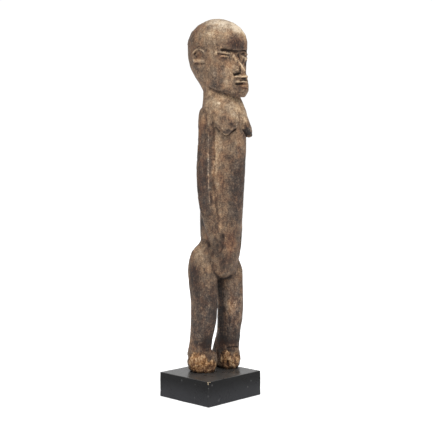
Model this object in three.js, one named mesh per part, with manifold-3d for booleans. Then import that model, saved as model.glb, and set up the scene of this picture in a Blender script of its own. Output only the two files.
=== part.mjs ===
// A carved wooden standing figure of a bush spirit, a Lobi bateba, on its low black plinth.
// The figure is cut from one post: a large round head with an overhanging brow, a thick neck, a long body
// with the arms in relief down its sides, wide-set pointed breasts, heavy hips and short blocky legs.
// Sizes are in millimetres. +Z is up, the figure faces -Y and its left side is at +X.
// The origin is the middle of the plinth's underside.
import * as THREE from "three";
import { LoftGeometry } from "three/addons/geometries/LoftGeometry.js";
import { mergeVertices } from "three/addons/utils/BufferGeometryUtils.js";
import Module from "manifold-3d";

const wasm = await Module();
wasm.setup();

// Driving sizes
const FIGURE_HEIGHT = 510; // soles to crown
const PLINTH_WIDTH = 108;
const PLINTH_DEPTH = 98;
const PLINTH_HEIGHT = 35;
const PLINTH_EDGE = 0.8; // eased edges of the block
const STANDS_ASIDE = 17; // the body's axis is this far to its own left of the plinth's middle
const STANDS_FORWARD = 5; // and this far in front of it
const SEAT_GAP = 0.3; // between the soles and the plinth

// The figure's pose, proportions and carving are shares of its height, in parts of which it is 512 tall.
// In its own frame the body's axis is x = 0, y = 0 and the soles are at z = 0.
const PARTS_TALL = 512;
const part = FIGURE_HEIGHT / PARTS_TALL;
const LEFT_LEG_AHEAD = 9; // the left leg stands this many parts ahead of the right one
const LEFT_LEG_OUT = 1; // and its sole this many further from the middle
const LEFT_FOOT_WIDTH = 0.75; // as a share of the right foot's
const LEFT_FOOT_LENGTH = 0.83;
const LEFT_HIP_LESS = 3; // the left hip is this much slimmer
const LEFT_CALF_LESS = 5; // and the back of the left calf
const LEFT_SHIN_MORE = 4; // the left shin comes this much further forward over the foot

// How finely the forms are cut
const TRUNK_SIDES = 36;
const LIMB_SIDES = 22;
const SMALL_SIDES = 14;
const RING_STEP = 13; // height between rings
const END_RINGS = 5; // rings in each rounded end
const END_SIZE = 0.06; // share of the full ring left where a rounded end closes

const LEFT = 1;
const RIGHT = -1;

// A closed geometry as a solid
function solid(geometry) {
  const bare = new THREE.BufferGeometry().setAttribute("position", geometry.getAttribute("position"));
  const merged = mergeVertices(bare.setIndex(geometry.index), 1e-4);
  return new wasm.Manifold(
    new wasm.Mesh({
      numProp: 3,
      vertProperties: merged.attributes.position.array,
      triVerts: new Uint32Array(merged.index.array),
    }),
  );
}

// A solid as a named mesh with its own material
function named(name, shape, material) {
  const { vertProperties, triVerts } = shape.getMesh();
  const geometry = new THREE.BufferGeometry()
    .setAttribute("position", new THREE.BufferAttribute(vertProperties, 3))
    .setIndex(new THREE.BufferAttribute(triVerts, 1));
  geometry.computeVertexNormals();
  const made = new THREE.Mesh(geometry, material);
  made.name = name;
  return made;
}

const join = (...shapes) => shapes.reduce((all, shape) => all.add(shape));
const onBothSides = (make) => join(make(RIGHT), make(LEFT));
const signedPower = (value, power) => Math.sign(value) * Math.abs(value) ** power;

// The rings of a form as heights and sizes: on a quarter circle in its rounded ends, evenly between them
function ringsBetween(low, high, below, above) {
  const steps = Array.from({ length: END_RINGS }, (_, i) => (i / END_RINGS) * (Math.PI / 2));
  const size = (angle) => Math.max(END_SIZE, Math.sin(angle));
  const lower = steps.map((angle) => [low + below * (1 - Math.cos(angle)), size(angle)]);
  const upper = steps.map((angle) => [high - above * (1 - Math.cos(angle)), size(angle)]);
  const from = low + below;
  const length = high - above - from;
  const count = Math.max(1, Math.round(length / RING_STEP));
  const middle = Array.from({ length: count + 1 }, (_, i) => [from + (length * i) / count, 1]);
  return [...(below ? lower : []), ...middle, ...(above ? upper.reverse() : [])];
}

// A form built up from level rings. Each key ring has its height z, its middle x, y, its half width "side",
// its reach "front" (towards -Y) and "back" of the middle, "square", which is 2 for an ellipse and more for a
// boxier ring, and "turn", its turn about its middle in degrees. Between the keys all of them run smoothly.
// An end closes flat, or rounded over its last "below" or "above" parts of height. The right side mirrors
// the left.
const FIELDS = ["x", "y", "side", "front", "back", "square", "turn"];
function form(keys, { hand = LEFT, sides = LIMB_SIDES, below = 0, above = 0 } = {}) {
  const full = keys.map((key) => ({ x: 0, y: 0, square: 2, turn: 0, ...key }));
  const values = full.flatMap((key) => FIELDS.map((field) => key[field]));
  const run = new THREE.CubicInterpolant(full.map((key) => key.z), values, FIELDS.length);
  const rings = ringsBetween(full[0].z, full[full.length - 1].z, below, above).map(([z, size]) => {
    const [x, y, side, front, back, square, turn] = run.evaluate(z);
    const middle = new THREE.Vector2();
    const ring = Array.from({ length: sides }, (_, i) => {
      const angle = ((i + 0.5) / sides) * 2 * Math.PI;
      const reach = angle > Math.PI ? front : back;
      const across = signedPower(Math.cos(angle), 2 / square) * side * size;
      const along = signedPower(Math.sin(angle), 2 / square) * reach * size;
      const point = new THREE.Vector2(across, along).rotateAround(middle, THREE.MathUtils.degToRad(turn));
      return new THREE.Vector3(hand * (x + point.x), y + point.y, z).multiplyScalar(part);
    });
    return hand === LEFT ? ring : ring.reverse();
  });
  return solid(new LoftGeometry(rings, { capStart: true, capEnd: true }));
}

// The post of the body, from the rounded end of the belly up to the top of the neck
function trunk() {
  const keys = [
    { z: 134, y: -3, side: 28, front: 23, back: 24 },
    { z: 163, y: -2, side: 25.5, front: 23.5, back: 27, square: 2.1 },
    { z: 192, side: 26.5, front: 27, back: 31, square: 2.2 },
    { z: 233, side: 28, front: 32, back: 31, square: 2.3 },
    { z: 280, side: 29.5, front: 35.5, back: 28, square: 2.3 },
    { z: 326, side: 31, front: 38, back: 28, square: 2.3 },
    { z: 352, side: 31, front: 37.5, back: 28, square: 2.3 },
    { z: 374, side: 29, front: 31, back: 27.5, square: 2.2 },
    { z: 392, side: 25.5, front: 26.5, back: 26.5, square: 2.2 },
    { z: 408, side: 25, front: 26, back: 26, square: 2.1 },
    { z: 420, y: 2, side: 24, front: 26, back: 24 },
  ];
  return form(keys, { sides: TRUNK_SIDES, below: 42 });
}

// The chest, which slopes out from the neck like a bib and stands proud of the body at its lower corners
function chest() {
  const keys = [
    { z: 352, side: 31.5, front: 37.5, back: 18, square: 3 },
    { z: 366, side: 31.5, front: 38, back: 18, square: 2.9 },
    { z: 380, side: 30, front: 35, back: 18, square: 2.6 },
    { z: 391, side: 27.5, front: 31, back: 16, square: 2.3 },
    { z: 402, side: 25, front: 26, back: 14, square: 2.1 },
  ];
  return form(keys, { sides: TRUNK_SIDES });
}

// One breast, a flat point wrapped round the bib's corner and cut off short below
function breast(hand) {
  const keys = [
    { z: 339, x: 24.5, y: -32.5, side: 4.8, front: 3, back: 2.5, turn: -48 },
    { z: 346, x: 23.5, y: -31.5, side: 6.5, front: 11, back: 8.8, turn: -48 },
    { z: 355, x: 21.5, y: -29, side: 8, front: 18, back: 15.8, turn: -48 },
    { z: 368, x: 18, y: -24.5, side: 8.5, front: 20, back: 17, turn: -48 },
    { z: 392, x: 10, y: -14, side: 8, front: 14, back: 12, turn: -48 },
  ];
  return form(keys, { hand, sides: SMALL_SIDES });
}

// One arm, a squarish strip down the side whose forearm comes forward over the hip and ends in a blunt hand
function arm(hand) {
  const keys = [
    { z: 138, x: 9, y: -9, side: 7, front: 6, back: 8, square: 2.2, turn: -38 },
    { z: 160, x: 14.4, y: -10.5, side: 7.6, front: 8.5, back: 10.5, square: 2.6, turn: -38 },
    { z: 184, x: 16.8, y: -11.5, side: 9, front: 11, back: 12, square: 3, turn: -35 },
    { z: 215, x: 20.5, y: -4.5, side: 10.5, front: 14, back: 14, square: 3.6, turn: -12 },
    { z: 244, x: 23, y: 2, side: 12, front: 17, back: 15.5, square: 3.6, turn: 6 },
    { z: 275, x: 23.8, y: 4.5, side: 12.5, front: 19, back: 16.5, square: 3.6, turn: 10 },
    { z: 330, x: 23.5, y: 4, side: 11.8, front: 18, back: 15.5, square: 3.6, turn: 10 },
    { z: 366, x: 22.3, y: 3.5, side: 12, front: 16.5, back: 15, square: 3.2, turn: 10 },
    { z: 386, x: 21, y: 3, side: 11.5, front: 14, back: 14, square: 3, turn: 10 },
  ];
  return form(keys, { hand, below: 8, above: 12 });
}

// The hips, which join both thighs to the body behind the belly
function hips() {
  const keys = [
    { z: 130, y: 14, side: 26, front: 11, back: 17, square: 2.2 },
    { z: 150, y: 12, side: 33, front: 17, back: 24, square: 2.3 },
    { z: 168, y: 10, side: 33, front: 18, back: 25, square: 2.3 },
    { z: 201, y: 8, side: 30, front: 14, back: 23 },
  ];
  return form(keys, { sides: TRUNK_SIDES, below: 16, above: 26 });
}

// The left leg's keys stand out and ahead of the right one's
const ahead = (hand) => (hand === LEFT ? LEFT_LEG_AHEAD : 0);
const out = (hand) => (hand === LEFT ? LEFT_LEG_OUT : 0);

// One leg with its buttock and thigh, down to the ankle inside the foot
const LEG_TOP = 191;
function leg(hand) {
  const hip = hand === LEFT ? LEFT_HIP_LESS : 0;
  const calf = hand === LEFT ? LEFT_CALF_LESS : 0;
  const shin = hand === LEFT ? LEFT_SHIN_MORE : 0;
  const keys = [
    { z: 20, x: 22.7, y: 16.5, side: 15.5, front: 9.5 + shin, back: 25, square: 2.4 },
    { z: 40, x: 23, y: 17, side: 14.6, front: 13 + shin, back: 19.8 - calf / 3, square: 2.4 },
    { z: 55, x: 23, y: 15.8, side: 14.9, front: 16.6 + shin / 3, back: 17.8 - calf, square: 2.4 },
    { z: 70, x: 23, y: 14.5, side: 15.6, front: 19.6, back: 17.5 - calf, square: 2.5 },
    { z: 98, x: 23, y: 13, side: 16.2, front: 19.8, back: 19 - calf, square: 2.5 },
    { z: 128, x: 22.3, y: 14, side: 17.4, front: 20, back: 22.5, square: 2.5 },
    { z: 148, x: 22, y: 14, side: 17.8, front: 19.5, back: 24.8, square: 2.4 },
    { z: 160, x: 21.5, y: 13.5, side: 18.3 - hip, front: 16 - hip, back: 24.5, square: 2.3 },
    { z: 173, x: 20, y: 12, side: 17.5 - hip, front: 11 - hip, back: 22, square: 2.1 },
    { z: LEG_TOP, x: 16, y: 9, side: 15, front: 6, back: 16 },
  ].map((key) => ({
    ...key,
    x: key.x + out(hand) * (1 - key.z / LEG_TOP),
    y: key.y - ahead(hand),
    back: key.back + ahead(hand) / 2,
  }));
  return form(keys, { hand, above: 18 });
}

// One worn stub of a foot, whose instep stands out in front of the ankle
function foot(hand) {
  const wide = hand === LEFT ? LEFT_FOOT_WIDTH : 1;
  const long = hand === LEFT ? LEFT_FOOT_LENGTH : 1;
  const heel = 0.8 * ahead(hand);
  const keys = [
    { z: 0, side: 18 * wide, front: 18 * long, back: 19 * long + heel, square: 2.4 },
    { z: 12, side: 20 * wide, front: 20 * long, back: 21 * long + heel, square: 2.6 },
    { z: 24, side: 19.3 * wide, front: 19.3 * long, back: 20.7 * long + heel, square: 2.5 },
    { z: 30, side: 18.5 * wide, front: 18.5 * long, back: 20 * long + heel, square: 2.5 },
  ].map((key) => ({ ...key, x: 22.5 + out(hand), y: 16 - ahead(hand) }));
  return form(keys, { hand, above: 6 });
}

// The head: an egg whose back runs down into the nape
function skull() {
  const keys = [
    { z: 402, y: 2, side: 22, front: 20, back: 22 },
    { z: 414, y: 4, side: 26.5, front: 24, back: 27 },
    { z: 426, y: 6, side: 30.5, front: 30, back: 34 },
    { z: 440, y: 7, side: 34.5, front: 35, back: 43 },
    { z: 455, y: 7, side: 36.5, front: 38, back: 48.5 },
    { z: 470, y: 7, side: 37, front: 40, back: 49.5, square: 2.1 },
    { z: 512, y: 7, side: 42, front: 43, back: 60, square: 2.1 },
  ];
  return form(keys, { sides: TRUNK_SIDES, above: 44 });
}

// The forehead, whose lower edge overhangs the face as a straight shelf
function brow() {
  const keys = [
    { z: 459, y: 6, side: 34.8, front: 43.5, back: 45, square: 2.5 },
    { z: 474, y: 6, side: 36, front: 44, back: 46, square: 2.4 },
    { z: 511, y: 6, side: 36, front: 42.5, back: 45, square: 2.1 },
  ];
  return form(keys, { sides: TRUNK_SIDES, above: 34 });
}

// The face, a block that comes forward at the mouth and chin; the jaw's underside slopes up to the neck
const JAW_SLOPE = 25; // degrees
const CHIN_Y = -41;
const CHIN_Z = 392.5;
const CUTTER = 90; // a block of this length reaches past any form that it trims
function face() {
  const keys = [
    { z: 392, y: -4, side: 21, front: 33.5, back: 16, square: 2.2 },
    { z: 401, y: -4, side: 26.5, front: 39.5, back: 17, square: 2.4 },
    { z: 411, y: -4, side: 29, front: 40, back: 18, square: 2.4 },
    { z: 424, y: -4, side: 30, front: 35, back: 20, square: 2.4 },
    { z: 437, y: -4, side: 32.3, front: 28.5, back: 24, square: 2.6 },
    { z: 450, y: -4, side: 34.5, front: 28.5, back: 26, square: 2.9 },
    { z: 470, y: -4, side: 34, front: 30, back: 28, square: 2.4 },
  ];
  const underJaw = new THREE.BoxGeometry(CUTTER * part, CUTTER * part, CUTTER * part)
    .translate(0, 0, (-CUTTER / 2) * part)
    .rotateX(THREE.MathUtils.degToRad(JAW_SLOPE))
    .translate(0, CHIN_Y * part, CHIN_Z * part);
  return form(keys, { sides: TRUNK_SIDES }).subtract(solid(underJaw));
}

// The nose, a wedge from the bridge under the brow to its flat base
function nose() {
  const keys = [
    { z: 427.5, y: -33, side: 10, front: 14.5, back: 6, square: 1.8 },
    { z: 434, y: -32, side: 8.5, front: 14.4, back: 6, square: 1.7 },
    { z: 445, y: -30, side: 6.5, front: 7.5, back: 6, square: 1.6 },
    { z: 454, y: -27, side: 5, front: 5.5, back: 6, square: 1.6 },
    { z: 463, y: -25, side: 4.5, front: 5, back: 6, square: 1.6 },
  ];
  return form(keys, { sides: SMALL_SIDES });
}

// A flattened ball: its middle, its half sizes and its turn about the upright in degrees
function pebble(hand, [x, y, z], [long, thick, tall], turn = 0) {
  const geometry = new THREE.SphereGeometry(1, SMALL_SIDES, SMALL_SIDES / 2)
    .rotateX(Math.PI / 2)
    .scale(long * part, thick * part, tall * part)
    .rotateZ(THREE.MathUtils.degToRad(hand * turn))
    .translate(hand * x * part, y * part, z * part);
  return solid(geometry);
}

// Two bands of lips that stand out from the face, with a slot between them
function lips() {
  const upper = pebble(LEFT, [0, -35, 422.3], [16, 11.2, 2.6]);
  const lower = pebble(LEFT, [0, -35, 416.3], [15, 11.2, 2.6]);
  return join(upper, lower);
}

// One eye, a raised lid wrapped round the face's corner; its slit is cut afterwards
const EYE_TURN = 37;
const eyeLid = (hand) => pebble(hand, [22.5, -25.5, 454], [11, 4, 4.4], EYE_TURN);
const eyeSlit = (hand) => pebble(hand, [24, -28, 453.8], [8.5, 4, 1], EYE_TURN);

// One ear: a raised rim that leans into the head below, its hollow crossed by a level ridge
const EAR_RADIUS = 11.5;
const EAR_RIM = 2.4;
const EAR_LEAN = 14; // degrees
const EAR_X = 35.8;
const EAR_Y = 9;
const EAR_TOP = 464.8;
const EAR_SQUASH = 0.69; // its height as a share of its length
const EAR_MIDDLE = EAR_TOP - (EAR_RADIUS + EAR_RIM) * EAR_SQUASH;
function ear(hand) {
  const rim = new THREE.TorusGeometry(EAR_RADIUS * part, EAR_RIM * part, 6, SMALL_SIDES)
    .rotateY(Math.PI / 2 + THREE.MathUtils.degToRad(hand * EAR_LEAN))
    .scale(1, 1, EAR_SQUASH)
    .translate(hand * EAR_X * part, EAR_Y * part, EAR_MIDDLE * part);
  const ridge = pebble(hand, [EAR_X - 2.4, EAR_Y - 0.5, EAR_MIDDLE - 6.5], [3.8, 13.5, 2.8]);
  return join(solid(rim), ridge);
}

// The split between the left foot's toes
const toeSplit = () => pebble(LEFT, [11.5, -6, 8], [6, 2.2, 6.5], 45);

function figure() {
  const limbs = join(onBothSides(arm), onBothSides(leg), onBothSides(foot));
  const body = join(trunk(), chest(), hips(), onBothSides(breast), limbs);
  const head = join(skull(), brow(), face(), nose(), lips(), onBothSides(eyeLid), onBothSides(ear));
  return join(body, head).subtract(join(onBothSides(eyeSlit), toeSplit()));
}

// The plinth, a plain block with eased edges
function plinth() {
  const width = PLINTH_WIDTH / 2 - PLINTH_EDGE;
  const depth = PLINTH_DEPTH / 2 - PLINTH_EDGE;
  const outline = new THREE.Shape([
    new THREE.Vector2(-width, -depth),
    new THREE.Vector2(width, -depth),
    new THREE.Vector2(width, depth),
    new THREE.Vector2(-width, depth),
  ]);
  const geometry = new THREE.ExtrudeGeometry(outline, {
    depth: PLINTH_HEIGHT - 2 * PLINTH_EDGE,
    bevelThickness: PLINTH_EDGE,
    bevelSize: PLINTH_EDGE,
    bevelSegments: 2,
  });
  return solid(geometry.translate(0, 0, PLINTH_EDGE));
}

const darkWood = new THREE.MeshStandardMaterial({ color: 0x6b5a4a, roughness: 0.8, metalness: 0 });
const blackPaint = new THREE.MeshStandardMaterial({ color: 0x2b2b2d, roughness: 0.45, metalness: 0 });

const group = new THREE.Group();
const carving = named("figure", figure(), darkWood);
carving.position.set(STANDS_ASIDE, -STANDS_FORWARD, PLINTH_HEIGHT + SEAT_GAP);
group.add(carving, named("plinth", plinth(), blackPaint));
export default group;
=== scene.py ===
"""The looks of a Lobi bateba, a carved wooden spirit figure on its black plinth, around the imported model.

Sizes are in metres. The carving is done in the figure's own parts, of which it is PARTS_TALL tall.
There the body's axis is x = 0, y = 0, the soles are at z = 0, it faces -y and its left side is at +x."""
import math
from itertools import product

import bmesh
import bpy
import numpy as np
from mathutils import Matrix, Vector
from mathutils.kdtree import KDTree


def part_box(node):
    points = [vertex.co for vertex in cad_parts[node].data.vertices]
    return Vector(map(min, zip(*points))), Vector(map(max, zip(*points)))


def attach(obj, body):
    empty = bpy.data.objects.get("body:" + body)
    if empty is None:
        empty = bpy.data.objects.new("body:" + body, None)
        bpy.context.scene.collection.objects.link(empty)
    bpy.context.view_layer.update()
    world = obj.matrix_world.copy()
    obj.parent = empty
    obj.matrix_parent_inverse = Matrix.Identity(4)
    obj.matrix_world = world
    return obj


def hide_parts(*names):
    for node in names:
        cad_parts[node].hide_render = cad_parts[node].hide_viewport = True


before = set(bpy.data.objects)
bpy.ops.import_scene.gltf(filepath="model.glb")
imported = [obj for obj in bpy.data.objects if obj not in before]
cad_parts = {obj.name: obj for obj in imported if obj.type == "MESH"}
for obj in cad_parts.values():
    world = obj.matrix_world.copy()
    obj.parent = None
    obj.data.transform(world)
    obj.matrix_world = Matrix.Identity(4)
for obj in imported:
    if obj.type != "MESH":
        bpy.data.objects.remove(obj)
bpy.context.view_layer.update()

MM = 0.001

# The frame's own sizes
FIGURE_LOW, FIGURE_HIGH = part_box("figure")
PLINTH_LOW, PLINTH_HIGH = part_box("plinth")
PLINTH_MIDDLE = (PLINTH_LOW + PLINTH_HIGH) / 2
STANDS_FORWARD = 5 * MM  # the body's axis is this far in front of the plinth's middle
PARTS_TALL = 512
PART = (FIGURE_HIGH.z - FIGURE_LOW.z) / PARTS_TALL
BODY_X = (FIGURE_LOW.x + FIGURE_HIGH.x) / 2
BODY_AXIS = np.array([BODY_X, PLINTH_MIDDLE.y - STANDS_FORWARD, FIGURE_LOW.z])


# Small helpers


def in_parts(points):
    return (points - BODY_AXIS) / PART


def in_metres(points):
    return points * PART + BODY_AXIS


def new_object(name, data):
    made = bpy.data.objects.new(name, data)
    bpy.context.scene.collection.objects.link(made)
    return made


def rows(items, name, wide, kind=float):
    """One row of this many numbers for each item."""
    flat = np.empty(len(items) * wide, kind)
    items.foreach_get(name, flat)
    return flat.reshape(-1, wide)


def points_of(mesh):
    return rows(mesh.vertices, "co", 3)


def normals_of(mesh):
    return rows(mesh.vertex_normals, "vector", 3)


def edges_of(mesh):
    return rows(mesh.edges, "vertices", 2, np.int32)


def move_points(mesh, points):
    mesh.vertices.foreach_set("co", points.ravel())
    mesh.update()


def keep_values(mesh, **kept):
    """Numbers for each point, which the material reads by these names."""
    for name, values in kept.items():
        mesh.attributes.new(name, "FLOAT", "POINT").data.foreach_set("value", values.astype(np.float32))


def eased(value, low, high):
    """0 below low, 1 above high and smooth between them."""
    share = np.clip((value - low) / (high - low), 0, 1)
    return share * share * (3 - 2 * share)


def noise(points, size, seed=0):
    """Smooth noise from -1 to 1 in lumps of about this size, one for all axes or one for each."""
    cell = points / np.asarray(size, float)
    low = np.floor(cell).astype(np.int64)
    ease = (cell - low) ** 2 * (3 - 2 * (cell - low))
    total = np.zeros(len(points))
    for corner in product((0, 1), repeat=3):
        x, y, z = (low + corner).T
        mixed = (x * 374761393 + y * 668265263 + z * 1274126177 + seed * 974634777) & 0xFFFFFFFF
        mixed = ((mixed ^ (mixed >> 13)) * 1103515245) & 0xFFFFFFFF
        value = ((mixed ^ (mixed >> 16)) & 0xFFFF) / 32767.5 - 1
        total += value * np.where(corner, ease, 1 - ease).prod(axis=1)
    return total


def layered(points, size, seed=0, layers=3):
    """Noise with finer and weaker noise on it."""
    finer = [noise(points, np.asarray(size) / 2**i, seed + i) / 2**i for i in range(layers)]
    return sum(finer) / 1.5


def wander(points, size, seeds):
    """A noise of its own for each axis, by which places and borders stray."""
    return np.stack([layered(points, size, seed=seed) for seed in seeds], axis=1)


def neighbours_mean(values, edges):
    """The mean of each point's neighbours."""
    count = np.bincount(edges.ravel(), minlength=len(values))
    sums = [
        np.bincount(edges[:, 0], column[edges[:, 1]], len(values))
        + np.bincount(edges[:, 1], column[edges[:, 0]], len(values))
        for column in values.T
    ]
    return np.stack(sums, axis=1) / np.maximum(count, 1)[:, None]


def relaxed(points, edges, passes, weight=1.0):
    """The points after this many smoothing passes, all with one weight or each with its own."""
    weight = np.broadcast_to(weight, len(points))[:, None]
    for _ in range(passes):
        points = points + (neighbours_mean(points, edges) - points) * 0.5 * weight
    return points


# The camera

CAMERA_PLACE = (-826.3 * MM, -806.1 * MM, 273.7 * MM)
CAMERA_TURN = -46.1  # degrees round the upright, 0 looking along +Y
CAMERA_DOWN = 0.71  # degrees below the level
LENS = 66.7
SENSOR = 36


def camera():
    """Where the photo was taken from."""
    data = bpy.data.cameras.new("camera")
    data.lens = LENS
    data.sensor_width = SENSOR
    made = new_object("camera", data)
    made.location = CAMERA_PLACE
    made.rotation_euler = (math.radians(90 - CAMERA_DOWN), 0, math.radians(CAMERA_TURN))
    bpy.context.scene.camera = made


# The carving

# How finely the figure's skin is cut, and which wood is cut twice as finely, in parts
SKIN = 1.62 * MM
FACE_FROM = 394  # the face, from this height
FACE_TO = 466  # to this one
FACE_BEFORE = -17  # and in front of this y
FEET_BELOW = 34  # the feet, below this height
FINE_BESIDE = 3.2  # the wood this near to the ears' lines and the body's finer ones


def skinned(mesh, size):
    """The mesh under one even skin of small faces."""
    body = new_object("unskinned", mesh)
    change = body.modifiers.new("skin", "REMESH")
    change.mode = "VOXEL"
    change.voxel_size = size
    graph = bpy.context.evaluated_depsgraph_get()
    skin = bpy.data.meshes.new_from_object(body.evaluated_get(graph))
    bpy.data.objects.remove(body)
    return skin


def refine(mesh, wanted):
    """Cuts the faces whose corners are all wanted into four."""
    shape = bmesh.new()
    shape.from_mesh(mesh)
    shape.verts.ensure_lookup_table()
    faces = [face for face in shape.faces if all(wanted[v.index] for v in face.verts)]
    edges = {edge for face in faces for edge in face.edges}
    bmesh.ops.subdivide_edges(shape, edges=list(edges), cuts=1, use_grid_fill=True)
    shape.to_mesh(mesh)
    shape.free()


def fine_areas(mesh):
    """Which points lie in the face or feet, or beside the finer lines of the ears and body."""
    points = in_parts(points_of(mesh))
    x, y, z = points.T
    fine = (z > FACE_FROM) & (z < FACE_TO) & (y < FACE_BEFORE) | (z < FEET_BELOW)
    points[:, 0] = -np.abs(x)
    lines = [*EAR_LINES.values(), *[BODY_LINES[name] for name in FINE_LINES]]
    for path, _, _ in lines:
        fine |= distance_to_path(points, path)[0] < FINE_BESIDE
    return fine


def distance_to_path(points, path):
    """How far each point is from a path of straight runs, and its share of the way along it."""
    path = np.asarray(path, float)
    lengths = np.linalg.norm(np.diff(path, axis=0), axis=1)
    passed = np.concatenate([[0], np.cumsum(lengths)]) / lengths.sum()
    nearest = np.full(len(points), np.inf)
    share = np.zeros(len(points))
    for i, (start, end) in enumerate(zip(path[:-1], path[1:])):
        run = end - start
        along = np.clip((points - start) @ run / (run @ run), 0, 1)
        away = np.linalg.norm(points - start - along[:, None] * run, axis=1)
        closer = away < nearest
        nearest[closer] = away[closer]
        share[closer] = passed[i] + (passed[i + 1] - passed[i]) * along[closer]
    return nearest, share


STROKE_REACH = 3  # how many widths away a stroke still cuts
STROKE_FADES = 0.1  # the share of its length over which it fades out at each end
JUST_OFF = -0.01  # so its very ends still mark the wood


def stroke(points, path, width, depth, mirrored=True):
    """How deep a knife drawn along the path cuts at each point; a negative depth raises a ridge.

    A mirrored path is cut alike on both sides, and one that ends at the middle runs on to the left."""
    other = [(-x, y, z) for x, y, z in path]
    runs = [path]
    if mirrored:
        crosses = path[-1][0] == 0
        runs = [path + other[-2::-1]] if crosses else [path, other]
    cut = np.zeros(len(points))
    for run in runs:
        low = np.min(run, axis=0) - STROKE_REACH * width
        high = np.max(run, axis=0) + STROKE_REACH * width
        near = ((points > low) & (points < high)).all(axis=1)
        away, share = distance_to_path(points[near], run)
        ends = eased(share, JUST_OFF, STROKE_FADES) * eased(1 - share, JUST_OFF, STROKE_FADES)
        cut[near] = depth * np.exp(-((away / width) ** 2)) * ends
    return cut


# The lines of the carving: a path on the skin of its right side, its width and its depth, all in parts
FACE_LINES = {
    "upper lid":
        ([(-31, -21.7, 457.6), (-26.6, -27.2, 457.1), (-20, -31, 456.2), (-14, -32, 455.6)], 1.2, -1.4),
    "eye slit":
        ([(-30.6, -21, 456), (-26.6, -26.8, 454.8), (-20, -30.8, 453.6), (-15, -31.6, 452.6)], 0.9, 1.8),
    "lower lid": ([(-28, -24.5, 451.6), (-24.7, -27.4, 451.7), (-18.5, -30.5, 452)], 1.0, -1.4),
    "outer corner": ([(-31, -20.5, 459), (-31.5, -20.5, 453.5)], 1.1, -1.1),
    "under the eye": ([(-29, -23, 447), (-24.5, -27.2, 447), (-17.7, -30.5, 447.5)], 3.0, 0.7),
    "beside the nose": ([(-15.4, -31.3, 452), (-14.2, -31.3, 449), (-12.8, -31.3, 441)], 1.2, 0.7),
    "wing crease": ([(-3, -40, 440), (-3.8, -41, 435), (-5, -42.5, 430)], 1.2, 2.1),
    "nose wing": ([(-8, -37.5, 439), (-9, -38.5, 431)], 2.8, -1.5),
    "nose base": ([(-12, -35.5, 426.8), (-8, -39, 427.2), (-3.5, -42.5, 428)], 1.8, 3.8),
    "upper lip": ([(-14, -39, 423.6), (-8, -43.7, 423.6), (0, -46, 423.6)], 1.9, -1.3),
    "lower lip": ([(-14, -39, 415.6), (-8, -42.6, 415.6), (0, -45.3, 415.7)], 1.0, -1.1),
    "mouth corner": ([(-13.5, -39.8, 414.9), (-18, -37, 412), (-21.2, -33.8, 407.8)], 1.8, -0.45),
    "beside the mouth": ([(-17.5, -34, 425), (-18.5, -34.5, 419)], 2.4, 0.8),
    "low chin crease": ([(-9, -40, 400.3), (-4, -41.5, 400.4), (0, -42, 400.5)], 1.1, 1.1),
}
# The same for lines on one side only, or not alike on both, as the face isn't quite even
UNEVEN_LINES = {
    "under the brow":
        ([(-27, -25, 460), (-17, -30.5, 459.7), (-7.5, -32.8, 459.2),
          (0, -33.5, 459.6), (6, -33.5, 460)], 1.7, 3.0),
    "brow's edge":
        ([(-29.5, -24, 461.5), (-24.5, -30, 460.8), (-16.2, -33.5, 459.2), (-9.2, -36, 458.4),
          (-0.1, -37.2, 458.8), (11.7, -36.4, 460.2), (20, -33, 461), (27, -26, 461)], 1.8, 3.8),
    "nose bridge":
        ([(-10.5, -32.5, 454), (-7.5, -32.8, 452.5), (-5, -33, 450),
          (-4.3, -35, 447), (-3.5, -37, 444)], 2.5, -2.4),
    "nose ridge": ([(-3.2, -37.8, 445), (-1.5, -41.5, 440), (0.4, -45, 433), (1, -46, 430)], 1.5, -1.2),
    "nose, left side":
        ([(0.5, -32.7, 456.5), (4, -32.5, 452.5), (6, -33, 448), (5.5, -37, 442.5)], 2.0, 2.2),
    "left eye's hollow": ([(8, -32.5, 457), (16, -31.5, 457.5)], 1.8, 1.6),
    "left eyelid": ([(9, -32.8, 453.5), (16, -32, 451.5), (22, -29.5, 450.5)], 1.6, -1.4),
    "under the left eye": ([(10, -33, 445), (17, -32, 443), (24, -28, 443)], 2.0, 1.0),
    "mouth, upper line":
        ([(-4, -42.5, 420.4), (1.4, -43.7, 420.6), (7.8, -43.7, 420.8), (12.5, -40, 420.8)], 1.1, 1.9),
    "mouth, lower line":
        ([(-8, -44, 417.3), (1.4, -43.8, 417.7), (8, -42.6, 417.8), (13, -39, 418.4)], 1.1, 2.6),
    "under the lip":
        ([(-13, -40, 412.6), (-8, -41.8, 412.6), (-3.7, -42.7, 412.8), (1, -43.4, 413)], 1.2, 2.4),
    "toe split": ([(11.4, -3.2, 13), (11.7, -3.3, 9), (12, -3.3, 3)], 1.3, 6.0),
    "chin's upper lump": ([(-2, -44.5, 409.8), (7, -43.5, 409.8)], 2.4, -0.8),
    "chin crease": ([(-2, -44, 406.8), (6, -43, 406.8), (12, -41, 406.8)], 1.1, 1.8),
    "hand's front edge":
        ([(-19.5, -21.3, 201), (-17.3, -22, 195), (-17, -22.4, 188),
          (-18, -21.5, 179), (-22, -16.5, 171)], 2.0, 1.2),
    "over the left foot":
        ([(31, -5.5, 30.5), (24, -8, 31.3), (16.8, -6.5, 31.9), (10.4, -0.3, 30.5)], 1.2, 1.8),
    "marks on the breast":
        ([(-20.5, -35, 364), (-22.5, -37, 357), (-18, -40, 354), (-15, -40, 359)], 0.7, 0.8),
    "more marks on it": ([(-15.5, -40, 351), (-10, -39.5, 352.5), (-5, -37.6, 354)], 0.8, 0.9),
    "scratch on the shoulder": ([(-26, -15.5, 385.5), (-20, -25, 385.5), (-17.5, -28, 385.5)], 0.9, -0.5),
    "left eyeball": ([(14, -32.6, 448.5), (20, -30.5, 448), (26, -26, 448.5)], 4.0, -1.3),
}
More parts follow.
